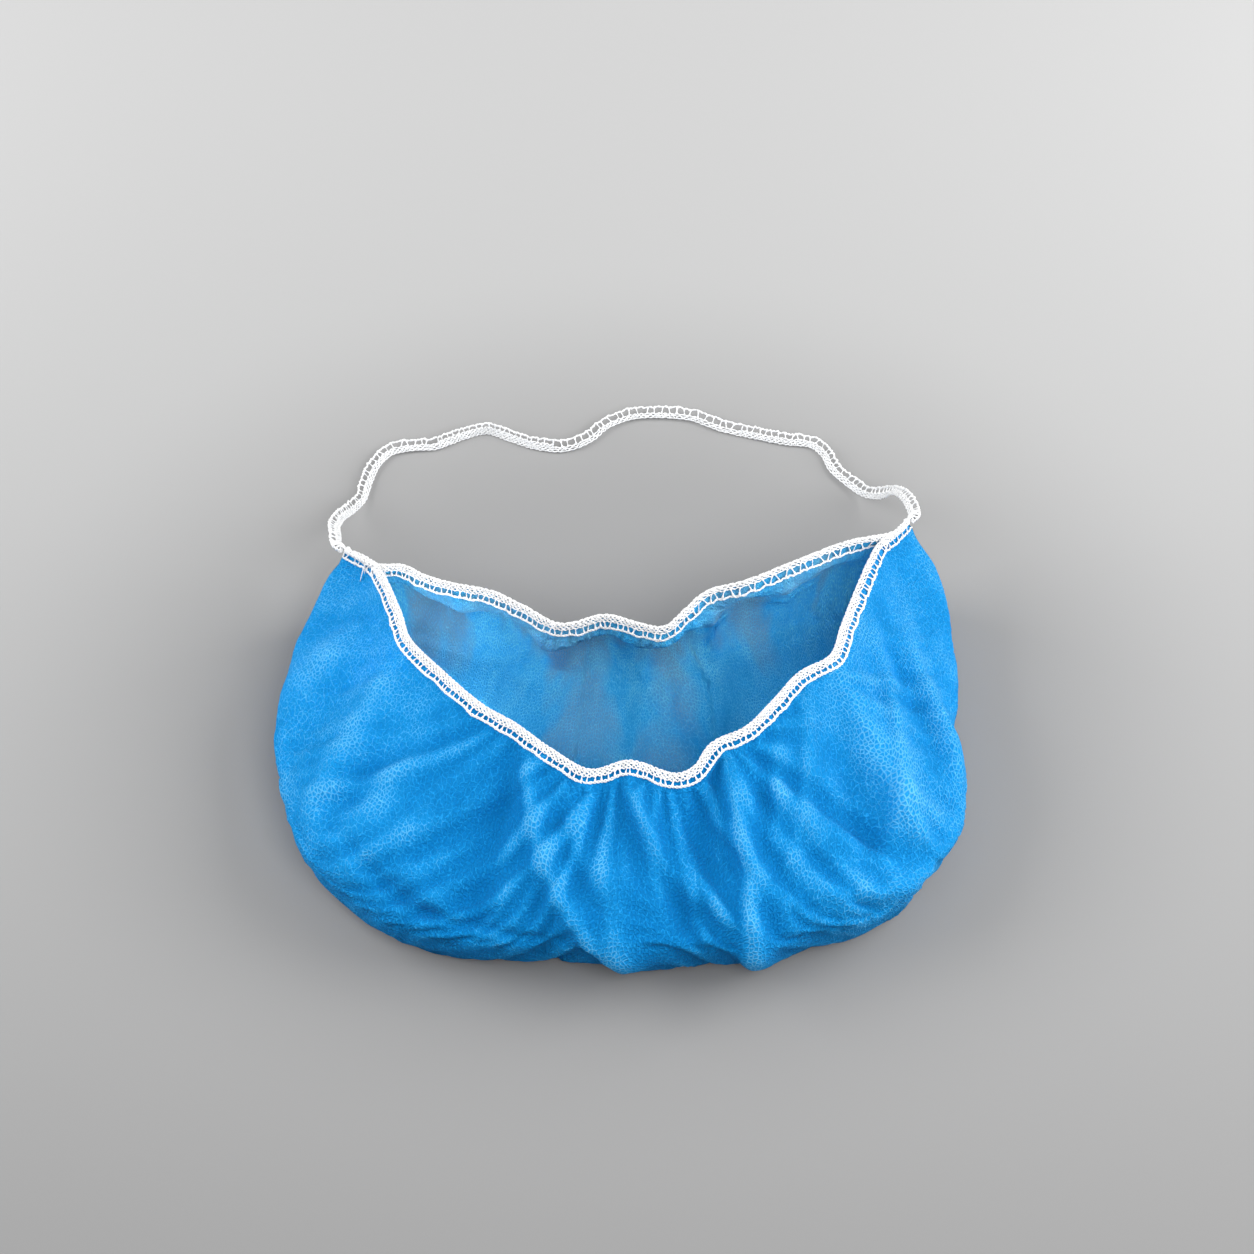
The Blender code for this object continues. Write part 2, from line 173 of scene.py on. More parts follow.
def at_lengths(values, reach, lengths):
    """Rows of values read at lengths along a line, where reach is the length at each of its rows."""
    return np.stack([np.interp(lengths, reach, axis) for axis in values.T], 1)


def at_shares(points, shares):
    reach = length_along(points)
    return at_lengths(points, reach, np.asarray(shares) * reach[-1])


def unit(vectors):
    return vectors / np.maximum(np.linalg.norm(vectors, axis=-1, keepdims=True), 1e-12)


def eased(share):
    share = np.clip(share, 0.0, 1.0)
    return share * share * (3.0 - 2.0 * share)


def to_the_right(runs):
    return unit(np.stack([runs[:, 1], -runs[:, 0], np.zeros(len(runs))], 1))


def around(values, passes):
    """Directions round the ring, evened out with their neighbours."""
    for _ in range(passes):
        values = unit(np.roll(values, 1, axis=0) + 2 * values + np.roll(values, -1, axis=0))
    return values


def curve_down(start, lead, end, rise, shares):
    """Rows of cloth on a curve that leaves the start along lead and comes to the end from rise."""
    shares = np.asarray(shares)[:, None, None]
    return ((1 - shares) ** 3 * start + 3 * (1 - shares) ** 2 * shares * (start + lead)
            + 3 * (1 - shares) * shares ** 2 * (end + rise) + shares ** 3 * end)


def lip_line(rows, side):
    """A lip from its left tip to its right one, on its own side of the gap in the closed corners."""
    tips = [np.array(row) * MOUTH for row in (LEFT_TIP, LEFT_ROOT, RIGHT_TIP, RIGHT_ROOT)]
    aside = to_the_right(np.array([tips[1] - tips[0], tips[2] - tips[3]])) * -side * CORNER_GAP / 2
    return smooth_curve([tips[0] + aside[0], tips[1] + aside[0]] + [np.array(row) * MOUTH for row in rows]
                        + [tips[3] + aside[1], tips[2] + aside[1]])


def belly_line(rows):
    """The widest line, from rows given as shares of the pouch's half width and half depth."""
    half_size = (MOUTH[0] + SWELL[0], (MOUTH[1] + SWELL[1]) / 2)
    plan = np.array(rows) * half_size + (0.0, (MOUTH[1] - SWELL[1]) / 2)
    return smooth_curve(np.column_stack([plan, np.full(len(plan), BELLY_HEIGHT)]))


def nose(start, end):
    """Points round a closed corner, from the near layer of cloth to the far one."""
    centre, reach = (start + end) / 2, (start - end) / 2
    out = np.array([reach[1], -reach[0], 0.0])
    turns = np.pi * np.arange(1, 2 * CORNER_COLUMNS + 1) / (2 * CORNER_COLUMNS + 1)
    return centre + np.cos(turns)[:, None] * reach + np.sin(turns)[:, None] * out


# The cloth's edge is a ring: along the near lip to the right corner, and back along the far lip
along = np.linspace(0.0, 1.0, LIP_COLUMNS + 1)
near_edge = at_shares(lip_line(NEAR_LIP, -1), along)
far_edge = at_shares(lip_line(FAR_LIP, 1), along)
right_nose, left_nose = nose(near_edge[-1], far_edge[-1]), nose(far_edge[0], near_edge[0])
near_ring = np.vstack([left_nose[CORNER_COLUMNS:], near_edge, right_nose[:CORNER_COLUMNS]])
far_ring = np.vstack([right_nose[CORNER_COLUMNS:], far_edge[::-1], left_nose[:CORNER_COLUMNS]])
rim = np.vstack([near_ring, far_ring])
columns = len(near_ring)
pad = np.arange(1, CORNER_COLUMNS + 1) / (2 * CORNER_COLUMNS + 1)
along_near = np.concatenate([-pad[::-1] * LIP_CORNER, along, 1 + pad * LIP_CORNER])
ring_along = np.concatenate([along_near, along_near[::-1]])
from_corner = np.minimum(ring_along, 1 - ring_along)
on_front = np.repeat([1.0, 0.0], columns)

runs = unit(np.roll(rim, -1, axis=0) - np.roll(rim, 1, axis=0))
outward = around(to_the_right(runs), RIM_PASSES)
corner_share = eased(from_corner / CORNER_FADE)
lip_slope = np.repeat([NEAR_SLOPE, FAR_SLOPE], columns)
slope = np.radians(CORNER_SLOPE + (lip_slope - CORNER_SLOPE) * corner_share)
down = outward * np.cos(slope)[:, None]
down[:, 2] = -np.sin(slope)
straight_end = rim + down * EDGE_DEPTH

belly_share = BELLY_CORNER + along * (1 - 2 * BELLY_CORNER)
turned_share = belly_share + FRONT_TURN * np.sin(2 * np.pi * along)
corner_bits = BELLY_CORNER * (1 - 2 * pad)
front_share = np.concatenate([corner_bits[::-1], turned_share, 1 - corner_bits])
back_share = np.concatenate([corner_bits[::-1], belly_share, 1 - corner_bits])
belly = np.vstack([at_shares(belly_line(FRONT_BELLY), front_share),
                   at_shares(belly_line(BACK_BELLY), back_share)[::-1]])
belly_runs = unit(np.roll(belly, -1, axis=0) - np.roll(belly, 1, axis=0))
belly_out = around(to_the_right(belly_runs), BELLY_PASSES)
foot = belly - belly_out * FOOT_INSET
foot[:, 2] = 0.0

upright = np.array([0.0, 0.0, 1.0])
to_belly = belly - straight_end
fullness = np.repeat([NEAR_FULLNESS, FAR_FULLNESS], columns)[:, None]
shoulder = unit(to_belly * (1, 1, 0)) * np.cos(slope)[:, None] + upright * down[:, 2:]
shoulder *= np.linalg.norm(to_belly, axis=1, keepdims=True) * fullness
edge_steps = np.arange(EDGE_ROWS)
side_steps = np.arange(SIDE_ROWS + 1)
under_steps = np.arange(1, UNDER_ROWS + 1)
edge_rows = rim + down * (EDGE_DEPTH * edge_steps / EDGE_ROWS)[:, None, None]
side_rows = curve_down(straight_end, shoulder, belly, -upright * to_belly[:, 2:] * BELLY_FULLNESS,
                       side_steps / SIDE_ROWS)
under_rows = curve_down(belly, -upright * BELLY_HEIGHT * BELLY_FULLNESS, foot,
                        belly_out * FOOT_INSET * FOOT_FULLNESS, under_steps / UNDER_ROWS)
smooth = np.concatenate([edge_rows, side_rows, under_rows])
rows_down = np.concatenate([-EDGE_SHARE + EDGE_SHARE * edge_steps / EDGE_ROWS,
                            BELLY_SHARE * side_steps / SIDE_ROWS,
                            BELLY_SHARE + (1 - BELLY_SHARE) * under_steps / UNDER_ROWS])


def grid_normals(rows):
    lengthways = np.roll(rows, -1, axis=1) - np.roll(rows, 1, axis=1)
    return unit(np.cross(np.gradient(rows, axis=0), lengthways))


# Large folds, where the cloth laps over itself on its way down. At is a fold's place as a share
# of the lip, drift is how far it moves along on its way down, and left and right are the widths
# of its two sides. It runs between start and end, as shares of the way down
FRONT_FOLDS = [
    # at, drift, left, right, height, start, end
    (0.10, -0.03, 0.020, 0.026, 0.60, 0.05, 0.42),
    (0.14, 0.00, 0.018, 0.018, -0.50, 0.05, 0.45),
    (0.18, 0.04, 0.018, 0.026, 0.95, -0.05, 0.40),
    (0.22, 0.00, 0.014, 0.016, -0.50, 0.10, 0.38),
    (0.27, -0.08, 0.014, 0.024, 0.80, 0.06, 0.42),
    (0.33, -0.15, 0.012, 0.022, 0.60, 0.15, 0.50),
    (0.18, 0.32, 0.018, 0.018, 0.50, 0.32, 0.52),
    (-0.20, 1.00, 0.035, 0.035, -0.70, 0.34, 0.50),
    (0.36, 0.01, 0.024, 0.014, -0.90, -0.05, 0.50),
    (0.37, 0.16, 0.010, 0.024, 1.05, -0.05, 0.66),
    (0.42, 0.12, 0.010, 0.018, 0.60, -0.05, 0.26),
    (0.45, 0.06, 0.010, 0.018, 0.65, 0.12, 0.64),
    (0.48, 0.20, 0.012, 0.022, 0.80, -0.05, 0.42),
    (0.55, 0.00, 0.022, 0.022, -0.90, -0.05, 0.42),
    (0.60, 0.00, 0.009, 0.022, 1.15, -0.05, 0.68),
    (0.63, -0.03, 0.014, 0.014, -0.60, 0.00, 0.50),
    (0.66, -0.12, 0.010, 0.018, 0.55, -0.05, 0.28),
    (0.71, -0.20, 0.012, 0.020, 0.60, -0.05, 0.26),
    (0.73, -0.03, 0.016, 0.016, -0.70, 0.05, 0.42),
    (0.76, 0.00, 0.012, 0.020, 0.90, -0.05, 0.40),
    (0.85, -0.28, 0.014, 0.022, 0.80, 0.00, 0.34),
    (0.86, -0.10, 0.016, 0.016, -0.50, 0.00, 0.34),
    (0.90, -0.12, 0.016, 0.022, 0.65, 0.10, 0.46),
    (0.40, 0.60, 0.036, 0.036, 0.75, 0.36, 0.56),
]
BACK_FOLDS = [
    # at, drift, left, right, height, start, end
    (0.140, 0.000, 0.028, 0.028, 0.55, 0.00, 0.90),
    (0.215, 0.010, 0.020, 0.020, -0.45, 0.00, 0.80),
    (0.285, 0.010, 0.024, 0.024, 0.60, 0.00, 0.95),
    (0.365, 0.020, 0.020, 0.020, -0.65, 0.00, 0.75),
    (0.450, 0.000, 0.026, 0.026, 0.50, 0.00, 1.00),
    (0.550, 0.000, 0.024, 0.024, 0.50, 0.00, 0.95),
    (0.625, 0.000, 0.020, 0.020, -0.70, 0.00, 0.80),
    (0.695, 0.000, 0.022, 0.022, 0.55, 0.00, 0.95),
    (0.765, -0.010, 0.018, 0.018, -0.45, 0.00, 0.70),
    (0.850, 0.000, 0.028, 0.028, 0.55, 0.00, 0.90),
]
FOLD_HEIGHT = 0.0056
PRESSED_IN = 0.70                   # share of a fold's height that packing has pressed into the cloth
FOLD_FADE = 0.18                    # share of the way down over which a fold begins and ends
PLEAT_HEIGHT = 0.0008
PLEATS_A_LIP = 62
CALM_CORNER, CALM_FOOT = 0.05, 0.25    # shares over which the relief dies out, at a corner and below


def fold_heights(folds, along, down):
    """Height of the large folds at each share down the cloth and along the lip."""
    along, down = along[None, :], down[:, None]
    heights = np.zeros((down.shape[0], along.shape[1]))
    for at, drift, left, right, height, start, end in folds:
        offset = along - (at + drift * down)
        ridge = np.exp(-(offset / np.where(offset < 0, left, right)) ** 2)
        fade = eased((down - start) / FOLD_FADE) * eased((end + FOLD_FADE - down) / FOLD_FADE)
        heights += height * ridge * fade
    return heights


def pleat_heights(along, down, chance):
    """Height of the small pleats that the elastic draws in, each of its own width and length."""
    along, down = along[None, :], down[:, None]
    heights = np.zeros((down.shape[0], along.shape[1]))
    for step in range(PLEATS_A_LIP):
        at = (step + chance.uniform(0.1, 0.9)) / PLEATS_A_LIP
        width = chance.uniform(0.0035, 0.0080)
        reach = chance.uniform(0.10, 0.42) ** 1.2
        drift = chance.uniform(-0.05, 0.05)
        height = chance.uniform(0.4, 1.25)
        offset = (along - at - drift * down) / (width * (1 + 1.2 * np.maximum(down, 0)))
        heights += height * np.exp(-offset ** 2) * np.exp(-(np.maximum(down, 0) / reach) ** 2)
    return heights


chance = np.random.default_rng(7)
calm = eased(from_corner / CALM_CORNER)
folds = np.hstack([fold_heights(FRONT_FOLDS, along_near, rows_down),
                   fold_heights(BACK_FOLDS, along_near, rows_down)[:, ::-1]]) * calm
pleats = np.hstack([pleat_heights(along_near, rows_down, chance),
                    pleat_heights(along_near, rows_down, chance)[:, ::-1]])
pleats *= calm * (0.3 + 0.7 * eased((from_corner - 0.10) / 0.20))
past_edging = eased((rows_down + EDGE_SHARE) / 0.12)[:, None]
heights = (1 - PRESSED_IN) * FOLD_HEIGHT * folds + PLEAT_HEIGHT * pleats * (0.35 + 0.65 * past_edging)
fade_out = eased((1.0 - rows_down) / CALM_FOOT)[:, None]
heights *= fade_out
normals = grid_normals(smooth)
cloth = smooth - normals * WALL / 2 + normals * heights[:, :, None]

# Soft creases all over, as in thin cloth that has been packed flat
CREASE_HEIGHT = 0.0016


def crease_at(spot):
    """Height of the creases at a spot: broad swells, less hollows of two sizes with sharp crests."""
    swells = 0.55 * noise.noise(spot * 55)
    hollows = abs(noise.noise(spot * 120 + Vector((5, 1, 3))))
    fine_hollows = 0.5 * abs(noise.noise(spot * 260 + Vector((1, 7, 2))))
    return swells - hollows - fine_hollows


creases = np.array([[crease_at(Vector(spot)) for spot in row] for row in cloth])
cloth += normals * (CREASE_HEIGHT * creases * eased(rows_down / 0.12)[:, None] * calm)[:, :, None]

# The cloth was cut wider than the pouch, and the elastic draws it in. So each wall starts a
# simulation as a curtain of its cut size, is pulled in to the folded shape above within a few
# frames, and buckles into its gathers by itself. Past the belly the cloth keeps to its form
# Share of the way down, and the cut width over the drawn-in one
FRONT_CUT = [(-0.1, 1.18), (0.25, 1.14), (0.60, 1.05), (0.90, 1.0)]
BACK_CUT = [(-0.1, 1.18), (0.3, 1.12), (0.67, 1.05), (1.0, 1.0)]
CUT_FROM, CUT_FADE = 0.26, 0.16     # shares of the lip: from a corner to the wider cloth, and its rise
CUT_SPOTS = 26                      # places along the lip where the extra width changes
SLACK_DOWN = 1.01                   # cut length of the cloth against its length down the pouch
LEAST_DROP = 0.1                    # share of a row's length that it hangs down at least
FREE_HOLD, LOW_HOLD, CORNER_HOLD = 0.15, 0.40, 0.50    # how firmly the cloth keeps to its form
LOW_FROM, LOW_FADE = 0.42, 0.30     # shares of the way down over which the low hold comes on
CORNER_HOLD_REACH = 0.30            # share of the lip over which the corner's hold fades
PINNED_COLUMNS = 3                  # at each side of a wall
PULL_FRAMES, GATHER_FRAMES = 10, 18
FURTHEST_MOVE = 0.0025


def put_in_scene(name, data):
    item = bpy.data.objects.new(name, data)
    bpy.context.scene.collection.objects.link(item)
    return item


def curtain(wall, cut, chance):
    """The wall before it is gathered, spread outwards as a curtain with its cut lengths."""
    drops = np.linalg.norm(np.diff(wall, axis=0), axis=2) * SLACK_DOWN
    widths = np.linalg.norm(np.diff(wall, axis=1), axis=2)
    share = (along_near[1:] + along_near[:-1]) / 2
    middle = eased((np.minimum(share, 1 - share) - CUT_FROM) / CUT_FADE)
    middle *= np.interp(share, np.linspace(0, 1, CUT_SPOTS), chance.uniform(0.5, 1.4, CUT_SPOTS))
    cut_widths = widths * (1 + (np.interp(rows_down, *zip(*cut)) - 1)[:, None] * middle[None, :])
    centre = wall[EDGE_ROWS + SIDE_ROWS, :, :2].mean(axis=0)
    spots = np.empty(wall.shape)
    for row, width in enumerate(cut_widths):
        across = np.concatenate([[0.0], np.cumsum(width)])
        spread = at_shares(wall[row], across / across[-1])[:, :2] - centre
        spots[row, :, :2] = centre + spread * across[-1] / widths[row].sum()
    sideways = np.linalg.norm(np.diff(spots[:, :, :2], axis=0), axis=2)
    drops = np.sqrt(np.maximum(drops ** 2 - sideways ** 2, (LEAST_DROP * drops) ** 2))
    spots[:, :, 2] = wall[0, :, 2] - np.vstack([np.zeros(wall.shape[1]), np.cumsum(drops, axis=0)])
    return spots


def hang(name, start, wall):
    """A cloth that starts as the curtain and is pulled to the wall, firmly along its borders."""
    rows, across = wall.shape[:2]
    corners = np.arange(rows * across).reshape(rows, across)
    faces = np.stack([corners[:-1, :-1], corners[1:, :-1], corners[1:, 1:], corners[:-1, 1:]], 2)
    mesh = bpy.data.meshes.new(name)
    mesh.from_pydata(start.reshape(-1, 3).tolist(), [], faces.reshape(-1, 4).tolist())
    item = put_in_scene(name, mesh)
    item.shape_key_add(name="curtain")
    key = item.shape_key_add(name="drawn_in")
    key.data.foreach_set("co", wall.reshape(-1).astype(np.float32))
    for value, frame_number in ((0.0, 1), (1.0, PULL_FRAMES)):
        key.value = value
        key.keyframe_insert("value", frame=frame_number)
    near_corner = np.minimum(along_near, 1 - along_near)[None, :] / CORNER_HOLD_REACH
    hold = (FREE_HOLD + (LOW_HOLD - FREE_HOLD) * eased((rows_down[:, None] - LOW_FROM) / LOW_FADE)
            + (CORNER_HOLD - FREE_HOLD) * eased(1 - near_corner)).round(2)
    hold[:EDGE_ROWS] = hold[-1:] = 1.0
    hold[:, :PINNED_COLUMNS] = hold[:, -PINNED_COLUMNS:] = 1.0
    group = item.vertex_groups.new(name="held")
    for value in np.unique(hold):
        group.add(corners[hold == value].tolist(), min(float(value), 1.0), "REPLACE")
    modifier = item.modifiers.new("gather", "CLOTH")
    settings = modifier.settings
    settings.quality = 6
    settings.mass = 0.001
    settings.air_damping = 2.0
    settings.tension_stiffness = settings.compression_stiffness = 15.0
    settings.shear_stiffness = 5.0
    settings.bending_model = "ANGULAR"
    settings.bending_stiffness = 40.0
    settings.bending_damping = 0.0
    settings.vertex_group_mass = "held"
    settings.effector_weights.gravity = 0.3
    modifier.collision_settings.use_collision = False
    modifier.point_cache.frame_start, modifier.point_cache.frame_end = 1, GATHER_FRAMES
    return item


def gathered(item, wall):
    """The wall as the simulation has left it, with its moves capped."""
    result = item.evaluated_get(bpy.context.evaluated_depsgraph_get()).data
    spots = np.empty(len(result.vertices) * 3)
    result.vertices.foreach_get("co", spots)
    moves = spots.reshape(wall.shape) - wall
    far = np.maximum(np.linalg.norm(moves, axis=2, keepdims=True), 1e-9)
    sheet, pull = item.data, item.data.shape_keys.animation_data.action
    bpy.data.objects.remove(item)
    bpy.data.meshes.remove(sheet)
    bpy.data.actions.remove(pull)
    return wall + moves * FURTHEST_MOVE * np.tanh(far / FURTHEST_MOVE) / far


walls = []
for name, part, cut in (("front_cloth", slice(0, columns), FRONT_CUT),
                        ("back_cloth", slice(2 * columns - 1, columns - 1, -1), BACK_CUT)):
    wall = cloth[:, part].copy()
    walls.append((hang(name, curtain(smooth[:, part], cut, chance), wall), wall, part))
for frame_number in range(1, GATHER_FRAMES + 1):
    bpy.context.scene.frame_set(frame_number)
for item, wall, part in walls:
    cloth[:, part] = gathered(item, wall)
bpy.context.scene.frame_set(1)
cloth += normals * (PRESSED_IN * FOLD_HEIGHT * folds * fade_out)[:, :, None]

# The cloth is painted paler with its height over the plain wall and over the cloth beside it: a painted
# highlight on folds and crests, and painted shade in the hollows. The gathers lie close in the middle of the
# front and the sides are spread; that middle is painted darker and the sides paler, as painted shade and
# light
PALE_HEIGHT, CREST_HEIGHT = 0.0075, 0.0010
NEIGHBOURS = 5                      # columns on each side that a crest stands above
GATHERS_FROM, GATHERS_TO, GATHERS_FADE = 0.14, 0.79, 0.22    # shares of the lip
raised_by = np.sum((cloth - smooth) * normals, axis=2) + WALL / 2
beside = np.concatenate([raised_by[:, -NEIGHBOURS:], raised_by, raised_by[:, :NEIGHBOURS]], axis=1)
beside = np.mean([beside[:, step:step + raised_by.shape[1]] for step in range(2 * NEIGHBOURS + 1)], axis=0)
gathers = eased(np.minimum(ring_along - GATHERS_FROM, GATHERS_TO - ring_along) / GATHERS_FADE)
crests = (raised_by - beside) / CREST_HEIGHT * (0.15 + 0.85 * gathers)
raised_by = np.clip(raised_by / PALE_HEIGHT + crests, -1.4, 2.0)
# Painted shade over the middle of the front, and painted light everywhere else
raised_by += 0.5 - 1.5 * gathers * on_front
cloth[:, :, 2] = np.maximum(cloth[:, :, 2], OFF_FLOOR)
cloth[-1, :, 2] = OFF_FLOOR
cloth -= MIDDLE
rim_line = cloth[0].copy()

# One grid runs from the near lip down the front, under the pouch and up to the far lip
front, back = cloth[:, :columns], cloth[:, columns:][:, ::-1]
spread = np.arange(1, FLOOR_ROWS + 1)[:, None, None] / (FLOOR_ROWS + 1)
underside = front[-1] * (1 - spread) + back[-1] * spread
grid = np.concatenate([front, underside, back[::-1]])
# The painted highlight and shade of the walls go on the grid, with none on the underside
relief = np.concatenate([raised_by[:, :columns], np.zeros((FLOOR_ROWS, columns)),
                         raised_by[:, columns:][::-1, ::-1]])
rows = len(grid)
faces = []
for row in range(rows - 1):
    for column in range(columns - 1):
        first = row * columns + column
        faces.append((first, first + columns, first + columns + 1, first + 1))
# Its two walls are joined along both sides, and one face closes each end of the underside
mid = len(front)
for row in range(mid - 1):
    for column, turn in ((0, 1), (columns - 1, -1)):
        face = (row * columns + column, (row + 1) * columns + column,
                (rows - 2 - row) * columns + column, (rows - 1 - row) * columns + column)
        faces.append(face[::-turn])
for column, turn in ((0, 1), (columns - 1, -1)):
    edge = [row * columns + column for row in range(mid - 1, mid + FLOOR_ROWS + 1)]
    faces.append(tuple(edge[::-turn]))


def keep_on_points(mesh, name, values):
    """Numbers or vectors kept on a mesh's points, for its material to read."""
    kind, field = ("FLOAT_VECTOR", "vector") if values.ndim == 3 else ("FLOAT", "value")
    layer = mesh.attributes.new(name, kind, "POINT")
    layer.data.foreach_set(field, values.reshape(-1).astype(np.float32))


CUT_WIDTH = 0.50                    # of the cloth, where the net is as it was embossed
place = np.zeros((rows, columns, 3))
place[:, :, 0] = along_near[None, :] * CUT_WIDTH
place[1:, :, 1] = np.cumsum(np.linalg.norm(np.diff(grid, axis=0), axis=2), axis=0)
# Painted light from behind: how far the inside is painted paler, most on the far wall, and less at its foot
# and corners
far_wall = 0.55 + 0.45 * eased(rows_down / 0.4) - 0.35 * eased((rows_down - 0.66) / 0.34)
inside = np.zeros((rows, columns))
inside[mid:mid + FLOOR_ROWS] = 0.65 * eased(spread[:, :, 0])
inside[mid + FLOOR_ROWS:] = far_wall[::-1, None]
inside *= 1.0 - 0.30 * eased(np.minimum(along_near, 1 - along_near) / 0.35)
mesh = bpy.data.meshes.new("pouch_cloth")
mesh.from_pydata(grid.reshape(-1, 3).tolist(), [], faces)
keep_on_points(mesh, "cloth_place", place)
keep_on_points(mesh, "painted_fold_light", relief)
keep_on_points(mesh, "painted_back_light", inside)
mesh.shade_smooth()
pouch = put_in_scene("pouch_cloth", mesh)


class Look:
    """A material, with short ways to add the nodes of its surface and to join them."""

    def __init__(self, name):
        self.material = bpy.data.materials.new(name)
        self.material.use_nodes = True
        self.nodes, self.links = self.material.node_tree.nodes, self.material.node_tree.links
        self.shader = self.nodes["Principled BSDF"]

    def feed(self, node, sockets):
        """Each socket is set to a number or colour, or joined to another node's output."""
        for socket, value in sockets.items():
            if isinstance(value, bpy.types.NodeSocket):
                self.links.new(value, node.inputs[socket])
            else:
                node.inputs[socket].default_value = value

    def add(self, kind, sockets, **settings):
        node = self.nodes.new("ShaderNode" + kind)
        for key, value in settings.items():
            setattr(node, key, value)
        self.feed(node, sockets)
        return node

    def read(self, name, output="Fac"):
        """What the mesh keeps on its points under that name."""
        return self.add("Attribute", {}, attribute_name=name).outputs[output]

    def math(self, operation, first, second, clamp=False):
        return self.add("Math", {0: first, 1: second}, operation=operation, use_clamp=clamp).outputs[0]

    def cloudy(self, spot, scale, detail, distortion=0.0, output="Fac"):
        sockets = {"Vector": spot, "Scale": scale, "Detail": detail, "Distortion": distortion}
        return self.add("TexNoise", sockets).outputs[output]

    def net(self, spot, warp, sway, scale, randomness, sharpness):
        """Lines round cells of uneven form: 1 along a line, and 0 inside its cells."""
        moved = self.add("VectorMath", {0: warp, 1: (sway, sway, 0.0), 2: spot}, operation="MULTIPLY_ADD")
        cells = self.add("TexVoronoi", {}, voronoi_dimensions="2D", feature="DISTANCE_TO_EDGE")
        self.feed(cells, {"Vector": moved.outputs[0], "Scale": scale, "Randomness": randomness})
        from_line = self.math("MULTIPLY", cells.outputs["Distance"], sharpness)
        return self.math("SUBTRACT", 1.0, from_line, clamp=True)

    def ramp(self, value, *stops):
        """A colour between those of the stops, each a position and its colour."""
        node = self.add("ValToRGB", {"Fac": value})
        elements = node.color_ramp.elements
        for element, (position, colour) in zip(elements, (stops[0], stops[-1])):
            element.position = position
            element.color = (*colour, 1.0)
        for position, colour in stops[1:-1]:
            elements.new(position).color = (*colour, 1.0)
        return node.outputs["Color"]

    def mix(self, share, first, second):
        node = self.add("Mix", {"Factor": share, "A": first, "B": second}, data_type="RGBA")
        return node.outputs["Result"]


look = Look("blue_nonwoven")
look.feed(look.shader, {"Roughness": 0.70, "Specular IOR Level": 0.03, "Sheen Weight": 0.03,
                        "Sheen Roughness": 0.45, "Sheen Tint": (0.55, 0.80, 1.0, 1.0)})
spot = look.read("cloth_place", "Vector")
warp = look.cloudy(spot, 260.0, 2.0, output="Color")
fibres = look.cloudy(spot, 1500.0, 4.0, 1.5)
cloud = look.cloudy(spot, 45.0, 3.0)
ridge = look.net(spot, warp, 0.0012, 600.0, 0.85, 4.2)
vein = look.net(spot, warp, 0.0045, 340.0, 1.0, 14.0)

# The cloth is paler where it stands up, as painted highlight and shade on its folds, and on the embossed
# net, on a coarser net and in clouds
lift = look.math("MULTIPLY", look.read("painted_fold_light"), 0.15)
clear = look.math("ADD", look.math("MULTIPLY", cloud, 0.9), lift)
clear = look.math("SUBTRACT", clear, 0.32, clamp=True)
tone = look.math("MULTIPLY", look.math("MULTIPLY", ridge, clear), 1.6)
for part, share in ((lift, 0.7), (vein, 0.30), (cloud, 0.10), (fibres, 0.34)):
    tone = look.math("ADD", tone, look.math("MULTIPLY", part, share))
outer = look.ramp(tone, (0.10, (0.003, 0.21, 0.56)), (0.42, (0.012, 0.34, 0.78)), (0.95, (0.15, 0.58, 0.94)))

# The inside of the far wall is painted paler, as painted light coming through it from behind, and painted
# grey where the cloth is thinnest, for the shaded floor seen through it
INWARD = (0.0, -0.8, 0.6)           # the way that the inside of the far wall faces
facing = look.add("NewGeometry", {}).outputs["Normal"]
faces_in = look.add("VectorMath", {0: facing, 1: INWARD}, operation="DOT_PRODUCT").outputs["Value"]
inner = look.math("ADD", look.math("MULTIPLY", faces_in, 3.0), 0.6, clamp=True)
inner = look.math("MULTIPLY", inner, look.read("painted_back_light"))
# The paler colour painted on the inside, standing for light through the wall
lit = look.ramp(tone, (0.10, (0.015, 0.40, 0.90)), (0.80, (0.20, 0.84, 1.0)))
# Painted grey patches: the shaded floor behind, painted in where the cloth is thinnest
thin = look.math("SUBTRACT", look.cloudy(spot, 17.0, 3.0), 0.46, clamp=True)
patch = look.math("MULTIPLY", thin, 9.0, clamp=True)
patch = look.math("MULTIPLY", look.math("MULTIPLY", patch, inner), 1.10, clamp=True)
off_net = look.math("SUBTRACT", 1.0, look.math("MULTIPLY", ridge, 0.55))
patch = look.math("MULTIPLY", patch, off_net)
cloth_colour = look.mix(patch, look.mix(inner, outer, lit), (0.21, 0.36, 0.50, 1.0))

embossed = look.math("ADD", ridge, look.math("MULTIPLY", fibres, 0.7))
bump = look.add("Bump", {"Strength": 0.9, "Distance": 0.00035, "Height": embossed}).outputs["Normal"]
look.feed(look.shader, {"Base Color": cloth_colour, "Normal": bump})
glow = look.add("BsdfTranslucent", {"Color": cloth_colour, "Normal": bump})
sheer = look.add("MixShader", {"Fac": 0.3, 1: look.shader.outputs[0], 2: glow.outputs[0]})
look.feed(look.nodes["Material Output"], {"Surface": sheer.outputs[0]})
mesh.materials.append(look.material)

thickness = pouch.modifiers.new("thickness", "SOLIDIFY")
thickness.thickness = CLOTH_THICKNESS
thickness.offset = 0.0
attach(pouch, "root")
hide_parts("pouch")

# The edgings are knitted overlock elastic, sewn over the cloth's raw edge. A puffy rail of
# yarns runs along the edge itself, slanted threads reach down both faces of the cloth, and a
# chain of stitches holds them there.
BAND_DEPTH = 0.0054
PAST_EDGE = 0.0007                  # how far the band's fold stands past the cloth's edge
EDGE_BEND = 0.0003                  # radius at which its inner face is folded round the edge
THREAD_STEP = 0.00045               # between the points of a thread
YARN_ROOM = 0.00058                 # of the band's width, for each yarn
